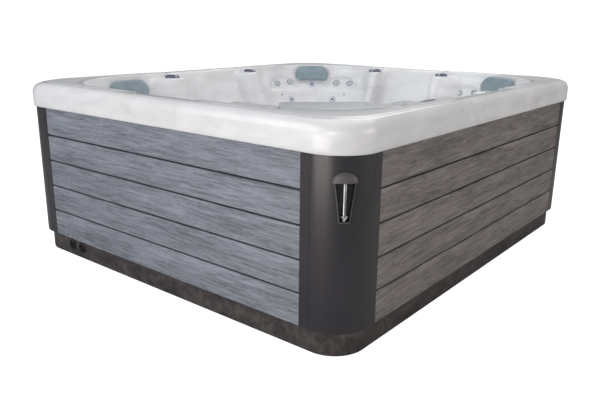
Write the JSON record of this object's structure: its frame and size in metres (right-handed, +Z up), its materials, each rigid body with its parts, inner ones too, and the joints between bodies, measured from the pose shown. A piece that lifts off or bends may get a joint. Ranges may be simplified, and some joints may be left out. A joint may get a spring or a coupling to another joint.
{
  "type": "portable hot tub",
  "caption": "Rectangular portable hot tub with a moulded acrylic shell, grooved board cabinet, rounded corner pillars, a corner light, headrests, jets and rim controls.",
  "frame": {"origin": "centre of the base's underside", "axes": "+Z up, +X across the width, +Y along the depth, the service panel on -Y and the filter bay in the +X, -Y corner"},
  "size_m": [2.212, 2.526, 0.95],
  "materials": {
    "base": "dark mottled moulded plastic, satin",
    "timber": "sawn softwood",
    "pillar": "charcoal satin moulded plastic",
    "board": "grey composite board with an embossed horizontal wood grain",
    "acrylic": "pearl white acrylic with soft grey marbling, glossy",
    "light_housing": "charcoal plastic, satin",
    "chrome": "polished",
    "headrest": "soft closed-cell foam, blue-grey",
    "jet": "polished ring with a dark nozzle",
    "knob": "polished with dark blue-grey recesses",
    "pipe": "white rigid plastic",
    "keypad": "dark grey plastic, satin",
    "button": "grey rubberised plastic",
    "lid": "light grey moulded plastic, fine texture",
    "weir": "grey plastic",
    "filter_paper": "pleated polyester",
    "grate": "grey plastic",
    "lens": "clear polycarbonate over a reflector",
    "port": "black plastic",
    "pump": "black enamel",
    "impeller": "glass-filled plastic",
    "steel": "stainless, brushed",
    "box": "grey plastic"
  },
  "bodies": {
    "tub": {"base_pan": "base", "support_frame": "timber", "pillar_back_right": "pillar", "pillar_back_left": "pillar", "pillar_front_left": "pillar", "pillar_front_right": "pillar", "right_panel": "board", "back_panel": "board", "left_panel": "board", "shell": "acrylic", "corner_light_front_right": "light_housing", "corner_light_rod_front_right": "chrome", "ledge_cap": "button", "diverter_valve_left": "pipe", "air_valve_left": "pipe", "diverter_valve_back": "pipe", "air_valve_back": "pipe", "keypad_housing": "keypad", "filter_housing": "pipe", "pressure_manifold": "pipe", "suction_manifold": "pipe", "suction_cover": "grate", "light_lens": "lens", "pump_1_wet_end": "pump", "pump_1_motor": "pump", "pump_2_wet_end": "pump", "pump_2_motor": "pump", "heater_tube": "steel", "control_box": "box", "ozone_generator": "box"},
    "front_access_panel": {"front_panel": "board"},
    "filter_lid": {"filter_lid": "lid"},
    "filter_cartridges": {"filter_cartridge_left": "filter_paper", "filter_cartridge_right": "filter_paper"},
    "skimmer_weir": {"skimmer_weir": "weir"},
    "headrest_back_right": {"headrest_back_right": "headrest"},
    "headrest_back_left": {"headrest_back_left": "headrest"},
    "headrest_front_left": {"headrest_front_left": "headrest"},
    "diverter_knob_left": {"diverter_knob_left": "knob"},
    "air_knob_left": {"air_knob_left": "knob"},
    "diverter_knob_back": {"diverter_knob_back": "knob"},
    "air_knob_back": {"air_knob_back": "knob"},
    "keypad_button_1": {"keypad_button_1": "button"},
    "keypad_button_2": {"keypad_button_2": "button"},
    "keypad_button_3": {"keypad_button_3": "button"},
    "keypad_button_4": {"keypad_button_4": "button"},
    "jet_neck_back_right": {"jet_neck_back_right": "jet"},
    "jet_lower_1_back_right": {"jet_lower_1_back_right": "jet"},
    "jet_lower_2_back_right": {"jet_lower_2_back_right": "jet"},
    "jet_neck_back_left": {"jet_neck_back_left": "jet"},
    "jet_lower_1_back_left": {"jet_lower_1_back_left": "jet"},
    "jet_lower_2_back_left": {"jet_lower_2_back_left": "jet"},
    "jet_neck_front_left": {"jet_neck_front_left": "jet"},
    "jet_lower_1_front_left": {"jet_lower_1_front_left": "jet"},
    "jet_lower_2_front_left": {"jet_lower_2_front_left": "jet"},
    "pump_1_impeller": {"pump_1_impeller": "impeller"},
    "pump_2_impeller": {"pump_2_impeller": "impeller"},
    "drain_cap_left": {"drain_cap_left": "port"},
    "drain_cap_right": {"drain_cap_right": "port"}
  },
  "joints": [
    {"name": "front_panel_pull_off", "type": "slide", "parent": "tub", "child": "front_access_panel", "axis": [0, -1, 0], "range_m": [0, 0.3]},
    {"name": "filter_lid_lift", "type": "slide", "parent": "tub", "child": "filter_lid", "axis": [0, 0, 1], "range_m": [0, 0.5]},
    {"name": "filter_cartridges_lift", "type": "slide", "parent": "tub", "child": "filter_cartridges", "axis": [0, 0, 1], "range_m": [0, 0.45]},
    {"name": "skimmer_weir_tilt", "type": "hinge", "parent": "tub", "child": "skimmer_weir", "pos_m": [0.6623, -0.8193, 0.735], "axis": [0.7071, 0.7071, 0], "range_deg": [0, 38], "stiffness_Nm_per_rad": 0.15},
    {"name": "headrest_back_right_pull_off", "type": "slide", "parent": "tub", "child": "headrest_back_right", "axis": [-0.3203, -0.9027, 0.2873], "range_m": [0, 0.06]},
    {"name": "headrest_back_left_pull_off", "type": "slide", "parent": "tub", "child": "headrest_back_left", "axis": [0.6773, -0.6773, 0.2873], "range_m": [0, 0.06]},
    {"name": "headrest_front_left_pull_off", "type": "slide", "parent": "tub", "child": "headrest_front_left", "axis": [0.9578, 0, 0.2873], "range_m": [0, 0.06]},
    {"name": "diverter_knob_left_turn", "type": "hinge", "parent": "tub", "child": "diverter_knob_left", "pos_m": [-0.915, -0.34598, 0.921], "axis": [0, 0, 1], "range_deg": [0, 180]},
    {"name": "air_knob_left_turn", "type": "hinge", "parent": "tub", "child": "air_knob_left", "pos_m": [-0.915, 0.37459, 0.921], "axis": [0, 0, 1], "range_deg": [0, 90]},
    {"name": "diverter_knob_back_turn", "type": "hinge", "parent": "tub", "child": "diverter_knob_back", "pos_m": [-0.28728, 1.072, 0.921], "axis": [0, 0, 1], "range_deg": [0, 180]},
    {"name": "air_knob_back_turn", "type": "hinge", "parent": "tub", "child": "air_knob_back", "pos_m": [0.25752, 1.072, 0.921], "axis": [0, 0, 1], "range_deg": [0, 90]},
    {"name": "keypad_button_1_press", "type": "slide", "parent": "tub", "child": "keypad_button_1", "axis": [0, 0, -1], "range_m": [0, 0.0018], "stiffness_N_per_m": 400},
    {"name": "keypad_button_2_press", "type": "slide", "parent": "tub", "child": "keypad_button_2", "axis": [0, 0, -1], "range_m": [0, 0.0018], "stiffness_N_per_m": 400},
    {"name": "keypad_button_3_press", "type": "slide", "parent": "tub", "child": "keypad_button_3", "axis": [0, 0, -1], "range_m": [0, 0.0018], "stiffness_N_per_m": 400},
    {"name": "keypad_button_4_press", "type": "slide", "parent": "tub", "child": "keypad_button_4", "axis": [0, 0, -1], "range_m": [0, 0.0018], "stiffness_N_per_m": 400},
    {"name": "jet_neck_back_right_turn", "type": "hinge", "parent": "tub", "child": "jet_neck_back_right", "pos_m": [0.65007, 1.07139, 0.8], "axis": [-0.2947, -0.8307, 0.4722], "range_deg": [0, 120]},
    {"name": "jet_lower_1_back_right_turn", "type": "hinge", "parent": "tub", "child": "jet_lower_1_back_right", "pos_m": [0.75626, 0.94194, 0.69], "axis": [-0.596, -0.6573, 0.4612], "range_deg": [0, 120]},
    {"name": "jet_lower_2_back_right_turn", "type": "hinge", "parent": "tub", "child": "jet_lower_2_back_right", "pos_m": [0.45293, 1.0495, 0.69], "axis": [0, -0.9231, 0.3846], "range_deg": [0, 120]},
    {"name": "jet_neck_back_left_turn", "type": "hinge", "parent": "tub", "child": "jet_neck_back_left", "pos_m": [-0.80658, 0.97451, 0.8], "axis": [0.6038, -0.6257, 0.4939], "range_deg": [0, 120]},
    {"name": "jet_lower_1_back_left_turn", "type": "hinge", "parent": "tub", "child": "jet_lower_1_back_left", "pos_m": [-0.63522, 1.01836, 0.69], "axis": [0.3409, -0.8297, 0.4421], "range_deg": [0, 120]},
    {"name": "jet_lower_2_back_left_turn", "type": "hinge", "parent": "tub", "child": "jet_lower_2_back_left", "pos_m": [-0.86136, 0.79222, 0.69], "axis": [0.8297, -0.3409, 0.4421], "range_deg": [0, 120]},
    {"name": "jet_neck_front_left_turn", "type": "hinge", "parent": "tub", "child": "jet_neck_front_left", "pos_m": [-0.9394, -0.66502, 0.8], "axis": [0.9042, 0.0069, 0.4271], "range_deg": [0, 120]},
    {"name": "jet_lower_1_front_left_turn", "type": "hinge", "parent": "tub", "child": "jet_lower_1_front_left", "pos_m": [-0.8925, -0.52293, 0.69], "axis": [0.9231, 0, 0.3846], "range_deg": [0, 120]},
    {"name": "jet_lower_2_front_left_turn", "type": "hinge", "parent": "tub", "child": "jet_lower_2_front_left", "pos_m": [-0.85702, -0.8024, 0.69], "axis": [0.8191, 0.3624, 0.4447], "range_deg": [0, 120]},
    {"name": "pump_1_spin", "type": "hinge", "parent": "tub", "child": "pump_1_impeller", "pos_m": [-0.3, -0.96, 0.124], "axis": [1, 0, 0], "continuous": true},
    {"name": "pump_2_spin", "type": "hinge", "parent": "tub", "child": "pump_2_impeller", "pos_m": [0.5, -0.96, 0.124], "axis": [1, 0, 0], "continuous": true},
    {"name": "drain_cap_left_turn", "type": "hinge", "parent": "tub", "child": "drain_cap_left", "pos_m": [-0.765, -1.228, 0.065], "axis": [0, -1, 0], "range_deg": [0, 180]},
    {"name": "drain_cap_right_turn", "type": "hinge", "parent": "tub", "child": "drain_cap_right", "pos_m": [-0.675, -1.228, 0.063], "axis": [0, -1, 0], "range_deg": [0, 180]}
  ],
  "couplings": [
    {"joint": "filter_cartridges_lift", "follows": "filter_lid_lift", "ratio": 0.9}
  ]
}
